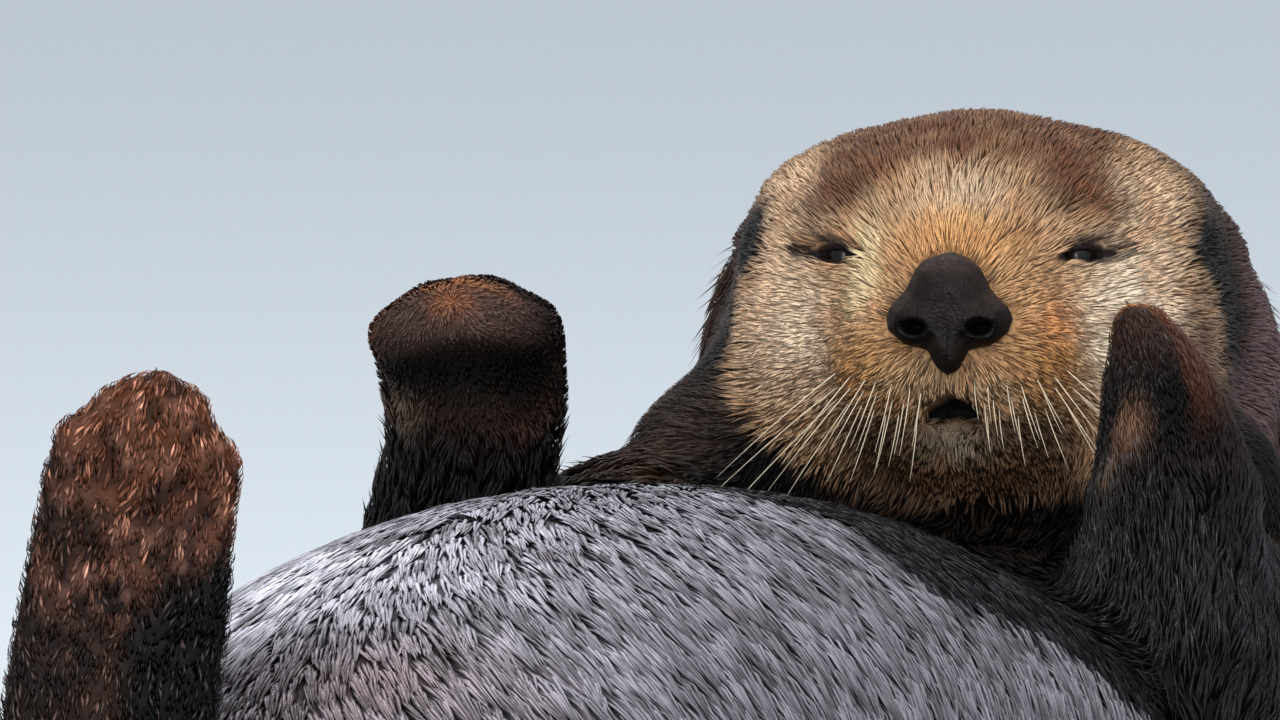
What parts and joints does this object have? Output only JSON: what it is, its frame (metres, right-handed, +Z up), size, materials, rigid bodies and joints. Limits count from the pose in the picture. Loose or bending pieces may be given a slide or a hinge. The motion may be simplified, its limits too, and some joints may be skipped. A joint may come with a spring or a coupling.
{
  "type": "sea otter",
  "caption": "Life-size still model of a sea otter floating on its back, one forepaw at its cheek, one raised and a hind foot up.",
  "frame": {"origin": "on the flat of the back where the trunk rests on the floor, under the ribs", "axes": "+Z up out of the belly, +Y from the tail towards the head, +X to the otter's own left side"},
  "size_m": [0.4357, 1.1568, 0.3556],
  "materials": {
    "fur_face": "fur",
    "fur_chin": "fur",
    "fur_neck": "fur",
    "fur_chest": "fur",
    "fur_belly": "fur",
    "fur_hips": "fur",
    "fur_tail": "fur",
    "fur_arm": "fur",
    "fur_paw": "fur",
    "fur_leg": "fur",
    "fur_foot": "fur",
    "nose": "moist pebbled skin",
    "eye": "wet gloss",
    "claw": "horn",
    "whisker": "stiff hair",
    "pad": "bare sole skin"
  },
  "bodies": {
    "root": {"head": "fur_face", "jaw": "fur_chin", "neck": "fur_neck", "chest": "fur_chest", "belly": "fur_belly", "hips": "fur_hips", "tail_root": "fur_tail", "tail_tip": "fur_tail", "ear_left": "fur_neck", "eye_left": "eye", "upper_arm_left": "fur_arm", "forearm_left": "fur_arm", "forepaw_left": "fur_paw", "thigh_left": "fur_leg", "shank_left": "fur_leg", "hind_foot_left": "fur_foot", "finger_claw_left_1": "claw", "toe_claw_left_1": "claw", "finger_claw_left_2": "claw", "toe_claw_left_2": "claw", "finger_claw_left_3": "claw", "toe_claw_left_3": "claw", "finger_claw_left_4": "claw", "toe_claw_left_4": "claw", "finger_claw_left_5": "claw", "toe_claw_left_5": "claw", "ear_right": "fur_neck", "eye_right": "eye", "upper_arm_right": "fur_arm", "forearm_right": "fur_arm", "forepaw_right": "fur_paw", "thigh_right": "fur_leg", "shank_right": "fur_leg", "hind_foot_right": "fur_foot", "finger_claw_right_1": "claw", "toe_claw_right_1": "claw", "finger_claw_right_2": "claw", "toe_claw_right_2": "claw", "finger_claw_right_3": "claw", "toe_claw_right_3": "claw", "finger_claw_right_4": "claw", "toe_claw_right_4": "claw", "finger_claw_right_5": "claw", "toe_claw_right_5": "claw", "nose": "nose"}
  },
  "joints": []
}
